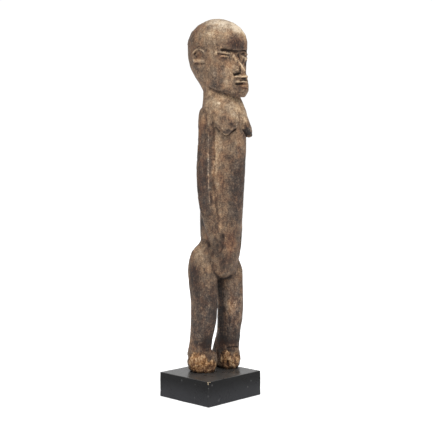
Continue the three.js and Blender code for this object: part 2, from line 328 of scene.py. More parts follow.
EAR_LINES = {
    "ear arch":
        ([(-34, -4.4, 454), (-38.5, -1.2, 460.3), (-40.3, 5, 463),
          (-40.1, 13, 461.5), (-35, 24, 458)], 1.1, -0.9),
    "inside the arch":
        ([(-35, -2, 455), (-38, 2, 459), (-38.6, 8, 460.4), (-38, 14, 459), (-35, 21, 456.5)], 1.3, 1.3),
    "ear ridge": ([(-34, -3, 446.5), (-36.3, 9, 447.6), (-33, 26, 449.8)], 2.6, -1.0),
    "under the ear": ([(-33.5, -2.4, 442.3), (-34.8, 8.3, 443), (-32.2, 25, 445.4)], 1.1, 1.2),
    "ear lobe": ([(-32.5, 20, 439.5), (-34, 10, 438), (-34, 3, 439)], 1.8, -0.7),
    "fold in the ear": ([(-35.5, 0, 452), (-36.5, 8, 455.5), (-35.5, 16, 453.5)], 1.0, 0.6),
}
BODY_LINES = {
    "arm edge":
        ([(-34.5, -8, 372), (-35.3, -9, 345), (-36, -9.5, 319),
          (-36.2, -9.8, 276), (-34, -10.7, 241), (-30, -13, 218)], 1.1, -1.1),
    "arm groove":
        ([(-30, -14, 372), (-29.4, -14.5, 319), (-29.8, -13.6, 276),
          (-26.2, -15, 241), (-23.6, -18.6, 217), (-19, -22, 191)], 2.2, 0.35),
    "behind the arm": ([(-29, 17, 370), (-31, 18, 300), (-31, 17, 240), (-27, 14, 205)], 2.0, 1.2),
    "under the breast":
        ([(-31, -19, 348.5), (-29, -24, 343.5), (-24, -29, 338),
          (-19, -32.5, 339.5), (-12.5, -36, 345.5), (-5, -37.5, 350)], 1.5, 2.1),
    "scratch on the breast": ([(-18, -34, 356), (-15, -36, 349), (-9, -37.5, 352)], 0.9, 0.7),
    "between the calves":
        ([(10, 15, 140), (10, 16, 118), (9.5, 16, 100), (9.5, 16, 76), (10.5, 16, 46)], 4.5, -1.7),
    "between the buttocks": ([(0, 27, 176), (0, 36, 160), (0, 33, 142)], 2.5, 2.0),
}
# The body's finer lines
FINE_LINES = ["arm edge", "under the breast", "scratch on the breast"]

UNSTEADY = 0.4  # how far a line strays from its path, in parts
PRESSED = 0.3  # and how much its depth varies, as a share


def knife_work(points):
    """All the lines, each a little unsteady in its course and depth."""
    drawn = points + UNSTEADY * wander(points, 6, (91, 93, 97))
    pressed = 1 + PRESSED * layered(points, 5, seed=101)
    even = [*FACE_LINES.values(), *EAR_LINES.values(), *BODY_LINES.values()]
    cut = sum(stroke(drawn, *line) for line in even)
    cut += sum(stroke(drawn, *line, mirrored=False) for line in UNEVEN_LINES.values())
    return cut * pressed


FACE_SLANT = 0.1  # the slope at which the brow and mouth rise towards its left
BROW_RIGHT = 0.6  # the share of that slope on the right half of the brow
BROW_RISES = ((440, 448), (462, 485))  # the slope sets in and ends between these heights
MOUTH_RISES = ((400, 414), (426, 440))
SLANT_BEFORE = (4, 22)  # and sets in between these distances in front of the body's axis


def slanted(points):
    """The face is carved a little askew: its brow and mouth rise towards its left side."""
    x, y, z = points.T
    brow, mouth = (eased(z, *start) * (1 - eased(z, *end)) for start, end in (BROW_RISES, MOUTH_RISES))
    rises = brow * np.maximum(x, BROW_RIGHT * x) + mouth * x
    points[:, 2] += FACE_SLANT * rises * eased(-y, *SLANT_BEFORE)


FACET_SIZE = 9  # the width of an adze stroke, in parts
FACET_STRETCH = np.array([1, 1, 0.45])  # an adze stroke is longer than it is wide
FACET_DEEPEST = 1.2  # the furthest below it that counts


def facets(points, normals):
    """How far each point stands below the flat cut of the nearest adze stroke."""
    stretched = points * FACET_STRETCH
    picked = np.random.default_rng(5).permutation(len(points))
    seeds = []
    taken = set()
    for i in picked:
        cell = tuple(np.floor(stretched[i] / FACET_SIZE).astype(int))
        if cell not in taken:
            taken.add(cell)
            seeds.append(i)
    tree = KDTree(len(seeds))
    for place, i in enumerate(seeds):
        tree.insert(stretched[i], place)
    tree.balance()
    nearest = np.array([tree.find(point)[1] for point in stretched])
    seeds = np.array(seeds)[nearest]
    below = -((points - points[seeds]) * normals[seeds]).sum(axis=1)
    return np.clip(below, 0, FACET_DEEPEST)


def worn_wood(points):
    """Slow unevenness, small dents and a fine roughness all over, of these depths and sizes in parts."""
    broad = 0.45 * layered(points, (16, 16, 26), seed=3, layers=2)
    dents = 0.35 * eased(layered(points, (5, 5, 8), seed=11), 0.25, 0.8)
    fine = 0.16 * layered(points, (2.6, 2.6, 6), seed=17)
    return broad - dents + fine


# Where the wood is paler or, below 0, darker, some patches as painted shade or light: each patch's middle
# and reach in parts, and how much
TONE_AND_PAINTED_LIGHT_PATCHES = {
    # paler partly from dust and partly as painted light from above
    "crown": ((-6, -8, 506), (36, 36, 20), 0.32),
    "front of the crown": ((-22, -16, 490), (20, 24, 22), 0.26),
    "back of the head": ((-22, 36, 480), (22, 26, 34), -0.1),
    "side of the head": ((-36, -6, 478), (10, 16, 16), 0.1),
    "dark forehead": ((-6, -38, 469), (24, 14, 10), -0.28),
    "chip on the brow": ((-28.5, -26.5, 462.5), (3, 3, 1.5), 0.5),
    "temple": ((-34, -12, 456), (8, 8, 9), 0.08),
    "outer corner of the eye": ((-31.5, -20.5, 456.5), (2.5, 2.5, 4), 0.26),
    # painted shade under the lower lid
    "under the eye": ((-23, -28, 446.5), (7, 6, 4.5), -0.26),
    "nose's right side": ((-9, -32.5, 446), (6, 5, 10), 0.12),
    # painted highlight along the nose's ridge
    "nose ridge": ((-1.5, -42, 443), (2.2, 10, 14), 0.2),
    # painted shade on the nose's far, left side
    "nose, left side": ((5, -35, 449), (4, 5, 9), -0.24),
    "left eye": ((22, -28, 447), (9, 8, 3.5), -0.2),
    "cheek": ((-13, -31, 437), (10, 9, 9), 0.16),
    "beside the mouth": ((-17, -34, 424), (8, 6, 7), 0.14),
    "lower cheek": ((-22, -31, 413), (7, 8, 7), 0.18),
    "jaw": ((-27, -16, 413), (10, 13, 10), -0.14),
    "chin": ((-6, -41, 406), (12, 6, 7), -0.14),
    "upper lip": ((-2, -44, 423.7), (14, 7, 2.6), 0.22),
    "neck": ((-12, -14, 388), (26, 26, 13), 0.3),
    "bib": ((0, -34, 370), (26, 14, 16), 0.32),
    "shoulder": ((-33, -4, 372), (8, 12, 7), 0.04),
    "front of the shoulder": ((-31, -11, 362), (7, 7, 13), 0.12),
    # painted shade on the left breast
    "left breast": ((17, -38, 344), (13, 10, 7), -0.34),
    "upper arm": ((-36, 2, 330), (8, 18, 60), -0.17),
    "back of the arm": ((-34, 14, 300), (8, 8, 60), -0.12),
    "lower arm": ((-34, 2, 250), (8, 18, 44), -0.24),
    # painted shade on the inside of the arm, beside the body
    "inside of the arm": ((-32.5, -11.8, 288), (3.8, 3.8, 70), -0.14),
    "strip beside the arm": ((-26, -21, 314), (6.5, 6.5, 36), 0.18),
    "strip lower down": ((-26, -16.5, 258), (5, 5, 34), 0.1),
    "strip near its end": ((-22.5, -19, 230), (4, 4, 14), 0.14),
    "pale patch at its end": ((-21.6, -19.6, 211), (3.5, 3.5, 7), 0.3),
    "front of the body": ((2, -34, 268), (20, 12, 50), -0.28),
    "left side of the body": ((24, -22, 280), (9, 14, 70), -0.16),
    "belly": ((-2, -28, 196), (14, 12, 14), -0.12),
    "hand": ((-22, -16, 184), (9, 10, 20), -0.2),
    "hand's front": ((-18.8, -21, 188), (3.5, 3.5, 14), -0.2),
    "wrist": ((-28, -10, 208), (7, 9, 7), -0.12),
    "hip": ((-35.7, 8, 172), (7, 12, 16), 0.15),
    "front of the hip": ((-28.5, -2, 156), (6, 8, 18), 0.12),
    "side of the thigh": ((-40, 16, 142), (7, 9, 18), -0.22),
    "front of the thigh": ((-31, -4, 138), (5, 6, 14), 0.06),
    "back of the thigh": ((-40, 22, 130), (10, 12, 32), -0.2),
    "shin": ((-24, 0, 76), (24, 24, 56), -0.27),
    "left knee": ((13.5, -12, 92), (10, 10, 15), 0.24),
    "ankle": ((-24, 4, 40), (20, 24, 10), -0.3),
    "left ankle": ((24, -6, 46), (20, 20, 16), -0.16),
    # painted shade between the feet
    "between the feet": ((6, 12, 30), (8, 16, 30), -0.3),
    "brow, left end": ((26, -28, 478), (10, 12, 20), -0.16),
    "upper lid": ((-26, -27, 457.2), (7, 6, 1.5), 0.22),
    "lower lid": ((-24, -28, 451.8), (5.5, 4, 1.3), 0.2),
    "left eyelid": ((18, -32, 451.8), (9, 4, 2), 0.16),
    # painted shade under the brow on the left
    "under the brow": ((14, -33, 457.5), (12, 6, 2.5), -0.2),
    "beside the nose": ((-15, -31.5, 450), (1.6, 3, 6), -0.16),
    # painted shade under the nose
    "nostril": ((-8, -39.5, 427), (5, 4, 1.6), -0.3),
    "mouth": ((5, -44, 420), (10, 6, 1.8), -0.24),
    "lower lip": ((-4, -44, 415.8), (11, 6, 1.1), 0.24),
    "ear hollow": ((-37, 10, 455), (4, 14, 3.5), -0.1),
    "arm edge": ((-36, -9.6, 322), (1.4, 1.4, 50), 0.14),
    # painted shade in the gap between the thighs
    "between the thighs": ((5, 8, 116), (3, 12, 20), -0.35),
    # painted shade under the belly
    "under the belly": ((4, -6, 135), (14, 8, 3), -0.3),
    # painted shade between the shins
    "between the shins": ((9.5, 8, 82), (4, 12, 34), -0.16),
    "chest under the breasts": ((-4, -36, 334), (10, 8, 12), 0.06),
    "body": ((0, 0, 170), (80, 80, 150), -0.05),
    "top of the arm": ((-34.5, 2, 362), (5, 6, 9), 0.22),
    "speck on the shoulder": ((-25, -20, 385), (2, 2, 2), 0.7),
    "marks on the forehead": ((-4, -38, 466), (13, 8, 5), -0.12),
    "left shin": ((24, -6, 68), (20, 18, 48), 0.08),
    "left foot's front": ((16, -6, 12), (16, 12, 14), 0.1),
    # painted light, lifting the shadow the right leg casts on it
    "left leg, inner front": ((8, -5, 98), (5, 7, 28), 0.24),
    "lower belly": ((-8, -19, 156), (18, 9, 13), -0.2),
    "top of the right foot": ((-29, -3, 22), (8, 8, 6), -0.14),
    "marks on the breast": ((-15, -39, 355), (9, 5, 6), -0.24),
    # painted shade under the jaw
    "under the jaw": ((-19, -24, 400), (14, 10, 4), -0.16),
    # painted shade under the chin
    "under the chin": ((-5, -34, 396), (14, 8, 4), -0.26),
    "front of the crown, left": ((4, -30, 493), (12, 11, 14), 0.48),
    "right of the crown": ((-29.5, -6.5, 494), (6, 9, 10), -0.24),
    # painted shade on the breast tip's underside
    "breast's tip": ((-25, -36, 343.5), (10, 6, 4), -0.46),
    "edge of the strip": ((-28.6, -15.5, 290), (4.5, 4.5, 52), 0.24),
    "back of the wrist": ((-26, 14, 215), (10, 10, 10), -0.4),
    "foot of the neck": ((-28.5, -14, 380), (7, 11, 9), 0.12),
    "side of the neck": ((-25, 4, 400), (6, 8, 6), 0.12),
    # painted shadow of the jaw on the front of the neck
    "front of the neck": ((-16, -28, 389), (8, 6, 5), -0.24),
    "left ankle's front": ((15, -5, 27.5), (11, 9, 4.5), -0.26),
    "inside of the left ankle": ((11.5, 25, 30), (5, 6, 8), -0.2),
    "inside of the left leg": ((9.5, 13, 57), (4, 8, 20), -0.22),
    "back of the shin": ((-38, 19.5, 70), (5, 7, 24), -0.2),
    "outside of the thigh": ((-39, 8, 123), (5, 7, 26), -0.22),
    "top of the left thigh": ((11, -12, 139), (8, 6, 8), -0.2),
    "dark place on the flank": ((-25, -22, 288), (5, 5, 14), -0.16),
    "dark place lower down": ((-21, -26, 262), (5, 5, 12), -0.18),
    "middle of the arm": ((-36.5, -4, 292), (4, 6, 16), -0.2),
    "waist": ((-10, -20, 220), (30, 30, 9), -0.14),
    "front of the crown, middle": ((-6, -33, 490), (8, 8, 9), 0.26),
    "left temple": ((12, -35, 481), (8, 6, 9), 0.26),
    "back of the hip": ((-33, 20, 178), (7, 7, 6), 0.2),
    "outside of the left leg": ((27, -14, 90), (4, 6, 36), 0.2),
    "beside the upper lip": ((-12, -39, 422.5), (4, 4, 2.5), 0.2),
    "neck under the ear": ((-24.5, -4, 404), (6, 8, 6), 0.22),
    "right of the bib": ((-27, -22, 373), (7, 7, 8), 0.16),
    "breast's outer corner": ((-33, -26, 352), (5, 5, 6), -0.22),
    "middle of the bib": ((-2, -37, 366), (8, 6, 8), -0.16),
    "back of the upper arm": ((-35, 11, 340), (5, 6, 22), 0.18),
    "front of the flank": ((-14.5, -33.5, 302), (6, 6, 14), -0.17),
    "over the groin": ((-26, -7, 172), (6, 6, 6), -0.2),
    "middle of the belly": ((0, -25, 165), (9, 7, 8), -0.18),
    "front of the shin": ((-32, -3, 78), (6, 6, 18), 0.12),
    "inside of the left shin": ((8, 0, 78), (4, 6, 10), 0.16),
    "behind the ear": ((-32, 19, 438), (7, 8, 8), -0.14),
    "right crown": ((-37, 14, 490), (8, 12, 10), 0.18),
    "breast's inner edge": ((-14, -40, 350), (6, 5, 6), -0.24),
}
TONE = 0.43  # elsewhere

# Where it is redder, the same way
RUST_PATCHES = {
    "cheek": ((-14, -32, 440), (10, 8, 8), 0.35),
    "ear": ((-37, 9, 455), (5, 12, 5), 0.7),
    "forehead": ((0, -38, 472), (26, 14, 12), 0.4),
    "back of the crown": ((-28, 18, 498), (10, 14, 10), 0.5),
    "lips and chin": ((4, -42, 410), (9, 7, 6), 0.9),
    "crown": ((4, -14, 503), (30, 34, 18), -0.5),
    "upper arm": ((-35, 3, 356), (5, 9, 16), 0.6),
    "strip beside the arm": ((-25, -23, 270), (7, 7, 24), 0.4),
    "belly": ((-5, -26, 186), (12, 9, 18), 0.9),
    "left knee": ((14, -12, 93), (11, 10, 16), 0.5),
    "ankles": ((0, 6, 36), (60, 40, 8), 0.6),
    "under the eye": ((-25, -27, 450), (7, 5, 5), 0.4),
    "side of the thigh": ((-40, 16, 142), (7, 9, 18), 0.4),
    "chest under the breasts": ((-1, -37, 324), (7, 8, 18), 0.5),
    "hand": ((-27, 2, 196), (5, 6, 7), 0.6),
    "upper lip": ((-2, -44, 424), (14, 7, 3), 0.4),
    "right foot": ((-30, 4, 10), (16, 12, 12), 0.5),
    "left foot, inner half": ((10, 0, 15), (9, 10, 14), 0.8),
    "lower arm": ((-35, 3, 280), (5, 12, 60), 0.4),
    "ear ridge": ((-37, 10, 448), (4, 15, 4), 0.4),
    "edge of the strip": ((-29.8, -14, 300), (3, 4, 50), 0.4),
    "back of the upper arm": ((-35, 11, 340), (5, 7, 24), 0.5),
}
RUST = 0.18  # elsewhere

# Where it is greyer
ASH_PATCHES = {
    "legs": ((0, 6, 76), (60, 50, 66), 0.7),
    "arm": ((-36, 4, 280), (10, 20, 76), 0.3),
    "front of the body": ((2, -34, 268), (20, 12, 60), 0.5),
    "forehead": ((-2, -38, 472), (24, 14, 12), 0.5),
    "jaw": ((-26, -14, 414), (14, 16, 12), 0.25),
    "left breast": ((14, -39, 345), (12, 9, 8), 0.6),
    "crown": ((-6, -12, 500), (34, 34, 24), 0.4),
    "cheek": ((-27, -22, 430), (9, 10, 9), 0.3),
    "arm edge": ((-36, -9.6, 290), (3, 3, 90), 0.4),
}

WELL_RIGHT = -10  # a patch whose middle lies further right than this x is on both sides
PATCH_RAGGED = 0.4  # how far its border strays, as a share of its least reach
PATCH_STRAYS = 3.5  # and at most, in parts
PATCH_FULL, PATCH_GONE = 0.35, 1.25  # it fades out between these shares of its reach


def within(points, middle, reach, full):
    """1 in a patch's middle and 0 outside it."""
    away = np.linalg.norm((points - middle) / reach, axis=1)
    return 1 - eased(away, full, PATCH_GONE)


def patched(points, level, patches):
    """The level at each point with the patches laid over it."""
    astray = wander(points, 7, (51, 53, 57))
    for middle, reach, amount in patches.values():
        ragged = points + min(PATCH_STRAYS, PATCH_RAGGED * min(reach)) * astray
        if middle[0] < WELL_RIGHT:
            ragged[:, 0] = -np.abs(ragged[:, 0])
        level = level + amount * within(ragged, middle, reach, PATCH_FULL)
    return level


# The bare, eroded wood of the feet, the same way
BARE_PATCHES = {
    "right foot": ((-39, 8, 14), (12, 18, 16), 1.0),
    "right foot, in front": ((-25, -4, 7), (15, 11, 11), 0.95),
    "left foot, inner half": ((10, 0, 13), (11, 11, 15), 0.75),
    "left foot, outer half": ((23, -10, 12), (10, 8, 13), 0.75),
    "right foot's back": ((-24, 34, 8), (14, 8, 14), 0.8),
    "left foot's back": ((26, 22, 8), (12, 8, 14), 0.8),
    "right foot, inside": ((-6, 14, 10), (8, 14, 12), 0.6),
    "left foot's outside": ((39, 4, 12), (8, 12, 12), 0.7),
}
BARE_STRAYS = 3  # how far their borders stray, in parts
BARE_FULL = 0.7  # they fade out from this share of their reach


def bare_wood(points):
    """How far the eroded feet have lost their patina, from 0 to 1."""
    ragged = points + BARE_STRAYS * wander(points, (6, 6, 9), (61, 67, 71))
    bare = np.zeros(len(points))
    for middle, reach, amount in BARE_PATCHES.values():
        bare = np.maximum(bare, amount * within(ragged, middle, reach, BARE_FULL))
    return bare


ERODED_TO = (20, 32)  # the erosion ends between these heights
LUMP_DEPTH = 1.1
CRACK_DEPTH = 0.8
CRACK_WIDTH = 0.13  # as a share of the noise that the cracks follow


def eroded(points):
    """How far the soft wood of the feet has gone, in lumps with cracks between them."""
    lumps = layered(points, (4.5, 4.5, 6), seed=73)
    cracks = eased(CRACK_WIDTH - np.abs(noise(points, (5.5, 5.5, 13), seed=79)), 0, CRACK_WIDTH)
    low = 1 - eased(points[:, 2], *ERODED_TO)
    return low * (LUMP_DEPTH * lumps + CRACK_DEPTH * cracks * bare_wood(points))


GROIN = [(-26.6, 0.4, 182), (-26, -2, 174), (-24.5, -4, 166), (-23, -6.2, 158), (-19, -7.5, 147)]
GROIN_REACH = 6
GROIN_PASSES = 30


def soft_groin(points, edges):
    """The points with the thighs and belly blended, as there is no sharp crease."""
    soft = np.clip(stroke(points, GROIN, GROIN_REACH, 1.2), 0, 1)
    return relaxed(points, edges, GROIN_PASSES, soft)


NEAR_PASSES = 8
WIDE_PASSES = 60
SOLE_SHADE = (0.5, 3.6)  # the painted contact shade along the feet's lowest rim ends between these heights


def paint_values(mesh, points, edges, normals, cuts):
    """What the wood's finish reads at each point, with painted shade and painted highlights among it."""

    def proud(passes):
        """How far each point stands out from the wood round it; more passes look further."""
        return ((points - relaxed(points, edges, passes)) * normals).sum(axis=1)

    near, wide = proud(NEAR_PASSES), proud(WIDE_PASSES)
    # ridge: pale where the wood stands proud or a stroke raises it, partly rubbed wear and partly painted
    # highlight
    ridge = 0.45 * eased(near, 0.05, 0.4) + 0.3 * eased(wide, 0.4, 2) + 0.85 * eased(-cuts, 0.2, 1)
    # hollow: dark in hollows and cuts, partly the crust lying there and partly painted shade
    hollow = 0.4 * eased(-near, 0.05, 0.4) + 0.35 * eased(-wide, 0.2, 1.4)
    hollow += 0.55 * eased(cuts, 0.3, 2) + 0.9 * eased(cuts, 2, 3.6)
    # the feet's lowest rim darkened as painted contact shade
    hollow += 0.5 * (1 - eased(points[:, 2], *SOLE_SHADE))
    tone = patched(points, TONE, TONE_AND_PAINTED_LIGHT_PATCHES)
    rust = patched(points, RUST, RUST_PATCHES)
    ash = patched(points, 0, ASH_PATCHES)
    keep_values(mesh, ridge=ridge, hollow=hollow, tone=tone, rust=rust, ash=ash, bare=bare_wood(points))


FACE_ABOVE = (385, 400)  # the smoother front of the head starts between these heights
FACE_IN_FRONT = (-4, 8)  # and between these distances in front of the body's axis
FACE_SMOOTHER = 0.6  # the share of the unevenness that it lacks
ADZE_FLAT = 0.5  # how far the rest is brought up to the flat cuts of the adze, as a share
SOLE_ROUND = 3.5  # the height over which the feet draw in at their soles
SOLE_IN = 1.7
STEP_PASSES = 4  # smoothing that takes away the steps of the raw skin
KNIFE_BLUNT = 0.3  # how much the finished cuts are blunted


def carved_figure():
    """The CAD figure's form under one fine skin, with the adze's and knife's work and the wear on it."""
    mesh = skinned(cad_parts["figure"].data.copy(), SKIN)
    refine(mesh, fine_areas(mesh))
    edges = edges_of(mesh)
    move_points(mesh, relaxed(points_of(mesh), edges, STEP_PASSES))
    move_points(mesh, in_metres(soft_groin(in_parts(points_of(mesh)), edges)))
    points = in_parts(points_of(mesh))
    normals = normals_of(mesh)
    face = eased(points[:, 2], *FACE_ABOVE) * eased(-points[:, 1], *FACE_IN_FRONT)
    level = worn_wood(points) * (1 - FACE_SMOOTHER * face)
    level += ADZE_FLAT * (1 - face) * facets(points, normals)
    cuts = knife_work(points) + eroded(points)
    points = points + normals * (level - cuts)[:, None]
    drawn_in = SOLE_IN * (1 - eased(points[:, 2], 0, SOLE_ROUND))
    points[:, :2] -= normals[:, :2] * drawn_in[:, None]
    points = relaxed(points, edges, 1, KNIFE_BLUNT)
    slanted(points)
    move_points(mesh, in_metres(points))
    paint_values(mesh, points, edges, normals_of(mesh), cuts)
    made = new_object("carved_figure", mesh)
    mesh.shade_smooth()
    mesh.materials.clear()
    mesh.materials.append(carved_wood())
    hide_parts("figure")
    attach(made, "root")
    return made


# The plinth

PLINTH_CUTS = 64  # rows of faces along each side
CROWDING = 1.7  # how strongly they crowd to the edges
EDGE_ROUND = 1.1 * MM
EDGE_VARIES = 0.9  # how unevenly the edges are beaten, as a share of that
EDGE_BEATEN = (0.45, 2.2)  # the least and greatest rounding, also as shares
EDGE_WORN = 3.2 * MM  # how far in from an edge its wear reaches
TOP_STARTS = (-0.6 * MM, -0.2 * MM)  # the dust starts between these heights, from the top
SIDES_UNEVEN = 0.12 * MM
CHIP_DEPTH = 0.7 * MM
BORDER_STRAYS = 0.6 * MM  # how ragged the borders of chips and scuffs are
PLACE_FULL = 0.45  # they fade out from this share of their reach
CHIP_PLACES = {  # chips in its paint: millimetres from the plinth's middle, and how far each reaches
    "near top corner": ((-54, -47.5, 17.5), 2.4),
    "beside it": ((-51, -49, 17.5), 1.8),
    "near corner, below the top": ((-54, -48, 14.5), 1.5),
}
SCUFF_PLACES = {  # grey scuffs, the same way
    "near edge": ((-54, -49, 9), 1.8),
    "near edge, low": ((-54, -48, -2), 2.2),
    "right face, low": ((-34, -49, -11), 3.2),
    "right face, far": ((33, -49, 6), 2.2),
    "left face": ((-54, 3, 12), 2.4),
    "left face, low": ((-54, -22, -8), 1.6),
    "far right corner": ((54, -49, -14), 2.4),
    "top, in front of the feet": ((-36, -30, 17.5), 7),
    "top, at the right": ((-12, -38, 17.5), 6),
    "dent in the top": ((-44, 10, 17.5), 2.2),
}


def reached(points, places, seed):
    """How far each point is within one of the places, their borders ragged."""
    ragged = points + BORDER_STRAYS * layered(points, 2.2 * MM, seed=seed)[:, None]
    share = np.zeros(len(points))
    for place, size in places.values():
        away = np.linalg.norm(ragged - np.array(place) * MM, axis=1)
        share = np.maximum(share, 1 - eased(away, PLACE_FULL * size * MM, size * MM))
    return share


SOLE_LAYER = 1.5 * MM  # the soles' outline is read within this height above the plinth's top
SOLE_SHADOW_TO, DUSTY_FROM = 1.2 * MM, 3.6 * MM  # the top is left without dust as painted contact shadow up to the first distance from that outline, and dusty from the second


def clear_of_sole_shadow(points, figure):
    """0 right beside the soles, where the top is left without dust as painted contact shadow, and 1 away
    from them.
    """
    spots = points_of(figure.data)
    spots = spots[spots[:, 2] < PLINTH_HIGH[2] + SOLE_LAYER]
    tree = KDTree(len(spots))
    for i, (x, y, _) in enumerate(spots):
        tree.insert((x, y, 0), i)
    tree.balance()
    away = np.array([tree.find((x, y, 0))[2] for x, y, _ in points])
    return eased(away, SOLE_SHADOW_TO, DUSTY_FROM)


def plinth_block(figure):
    """The black block with softened, slightly beaten edges."""
    half = np.array(PLINTH_HIGH - PLINTH_LOW) / 2
    middle = np.array(PLINTH_MIDDLE)
    shape = bmesh.new()
    bmesh.ops.create_cube(shape, size=2)
    bmesh.ops.subdivide_edges(shape, edges=shape.edges[:], cuts=PLINTH_CUTS, use_grid_fill=True)
    mesh = bpy.data.meshes.new("plinth_block")
    shape.to_mesh(mesh)
    shape.free()
    share = points_of(mesh)
    flat = np.sign(share) * (1 - (1 - np.abs(share)) ** CROWDING) * half
    beaten = 1 + EDGE_VARIES * layered(flat, 9 * MM, seed=31, layers=2)
    radius = (EDGE_ROUND * np.clip(beaten, *EDGE_BEATEN))[:, None]
    inner = np.clip(flat, radius - half, half - radius)
    out = flat - inner
    out /= np.maximum(np.linalg.norm(out, axis=1, keepdims=True), 1e-9)
    points = inner + out * radius
    chipped = reached(points, CHIP_PLACES, 37)
    points -= out * (CHIP_DEPTH * chipped)[:, None]
    points[:, :2] += SIDES_UNEVEN * layered(points, 24 * MM, seed=41)[:, None] * np.sign(out[:, :2])
    move_points(mesh, points + middle)
    to_edge = np.sort(half - np.abs(flat), axis=1)[:, 1]
    top = eased(flat[:, 2] - half[2], *TOP_STARTS)
    # no dust right round the soles, leaving a painted contact shadow there
    dust = top * clear_of_sole_shadow(flat + middle, figure)
    edge = 1 - eased(to_edge, 0, EDGE_WORN)
    keep_values(mesh, edge=edge, chip=chipped, scuff=reached(flat, SCUFF_PLACES, 43), dust=dust)
    mesh.shade_smooth()
    mesh.materials.append(black_paint())
    made = new_object("plinth_block", mesh)
    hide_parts("plinth")
    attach(made, "root")


# Finishes


class Sheet:
    """A node tree, with short words for the nodes of the finishes."""

    def __init__(self, tree):
        self.tree = tree

    def add(self, kind, values=None, **settings):
        made = self.tree.nodes.new(kind)
        for name, value in settings.items():
            setattr(made, name, value)
        for socket, value in (values or {}).items():
            self.feed(made.inputs[socket], value)
        return made

    def feed(self, socket, value):
        if isinstance(value, bpy.types.NodeSocket):
            self.tree.links.new(value, socket)
        else:
            socket.default_value = value

    def place(self):
        return self.add("ShaderNodeTexCoord").outputs["Object"]

    def value(self, name):
        return self.add("ShaderNodeAttribute", attribute_name=name).outputs["Fac"]

    def math(self, operation, a, b=0.0, c=0.0, clamp=False):
        node = self.add("ShaderNodeMath", {0: a, 1: b, 2: c}, operation=operation, use_clamp=clamp)
        return node.outputs[0]

    def added(self, start, *shares, clamp=False):
        """start plus each value times its share; clamp keeps the sum between 0 and 1."""
        for i, (value, share) in enumerate(shares, 1):
            start = self.math("MULTIPLY_ADD", value, share, start, clamp=clamp and i == len(shares))
        return start

    def plus(self, vector, other):
        return self.add("ShaderNodeVectorMath", {0: vector, 1: other}, operation="ADD").outputs[0]

    def times(self, vector, x, y, z):
        node = self.add("ShaderNodeVectorMath", {0: vector, 1: (x, y, z)}, operation="MULTIPLY")
        return node.outputs[0]

    def span(self, value, low, high, to_low=0.0, to_high=1.0):
        """value between low and high taken to between two others, smoothly and no further."""
        ends = {"From Min": low, "From Max": high, "To Min": to_low, "To Max": to_high}
        node = self.add("ShaderNodeMapRange", {"Value": value, **ends}, interpolation_type="SMOOTHSTEP")
        return node.outputs["Result"]

    def noise(self, place, scale, detail, roughness=0.55):
        kind = {"Vector": place, "Scale": scale, "Detail": detail, "Roughness": roughness}
        return self.add("ShaderNodeTexNoise", kind)

    def mix(self, share, a, b):
        """The first colour with this share of the second over it."""
        first, second, result = 6, 7, 2  # a mix node's sockets for colours
        node = self.add("ShaderNodeMix", {0: share, first: a, second: b}, data_type="RGBA")
        return node.outputs[result]

    def ramp(self, value, stops):
        node = self.add("ShaderNodeValToRGB", {"Fac": value})
        band = node.color_ramp
        while len(band.elements) < len(stops):
            band.elements.new(0.5)
        for element, (place, colour) in zip(band.elements, stops):
            element.position = place
            element.color = (*colour, 1)
        return node.outputs["Color"]

    def effect(self, group, **values):
        """One of the shared effects, its inputs fed by name."""
        return self.add("ShaderNodeGroup", values, node_tree=group).outputs


def effect_group(name, amounts, outputs):
    """An empty shared effect with these amounts: its sheet, its inputs and the node of its results."""
    tree = bpy.data.node_groups.new(name, "ShaderNodeTree")
    tree.interface.new_socket(name="Place", in_out="INPUT", socket_type="NodeSocketVector")
    for socket, value in amounts.items():
        made = tree.interface.new_socket(name=socket, in_out="INPUT", socket_type="NodeSocketFloat")
        made.default_value = value
    for socket in outputs:
        tree.interface.new_socket(name=socket, in_out="OUTPUT", socket_type="NodeSocketFloat")
    sheet = Sheet(tree)
    return sheet, sheet.add("NodeGroupInput").outputs, sheet.add("NodeGroupOutput")


def grain_effect():
    """Long upright streaks of wood grain or brush marks, and the thin dark lines among them."""
    amounts = {"Fineness": 500.0, "Stretch": 0.06}
    sheet, given, result = effect_group("grain", amounts, ["Streaks", "Lines"])
    sway = sheet.noise(given["Place"], 25.0, 1.0).outputs["Color"]
    swayed = sheet.plus(given["Place"], sheet.times(sway, 0.006, 0.006, 0.006))
    x, y, z = sheet.add("ShaderNodeSeparateXYZ", {0: swayed}).outputs
    drawn_out = sheet.math("MULTIPLY", z, given["Stretch"])
    long = sheet.add("ShaderNodeCombineXYZ", {0: x, 1: y, 2: drawn_out}).outputs[0]
    streaks = sheet.noise(long, given["Fineness"], 4.0, 0.6).outputs["Fac"]
    finer = sheet.noise(long, sheet.math("MULTIPLY", given["Fineness"], 2.3), 2.0, 0.5).outputs["Fac"]
    sheet.feed(result.inputs["Streaks"], streaks)
    sheet.feed(result.inputs["Lines"], sheet.span(finer, 0.42, 0.3))
    return sheet.tree


def mottle_effect():
    """Cloudy blotches from -0.5 to 0.5, soft at first and spotty as the contrast rises."""
    amounts = {"Fineness": 100.0, "Contrast": 1.0}
    sheet, given, result = effect_group("mottle", amounts, ["Blotches"])
    clouds = sheet.noise(given["Place"], given["Fineness"], 5.0, 0.62).outputs["Fac"]
    centred = sheet.math("SUBTRACT", clouds, 0.5)
    sheet.feed(result.inputs["Blotches"], sheet.math("MULTIPLY", centred, given["Contrast"]))
    return sheet.tree


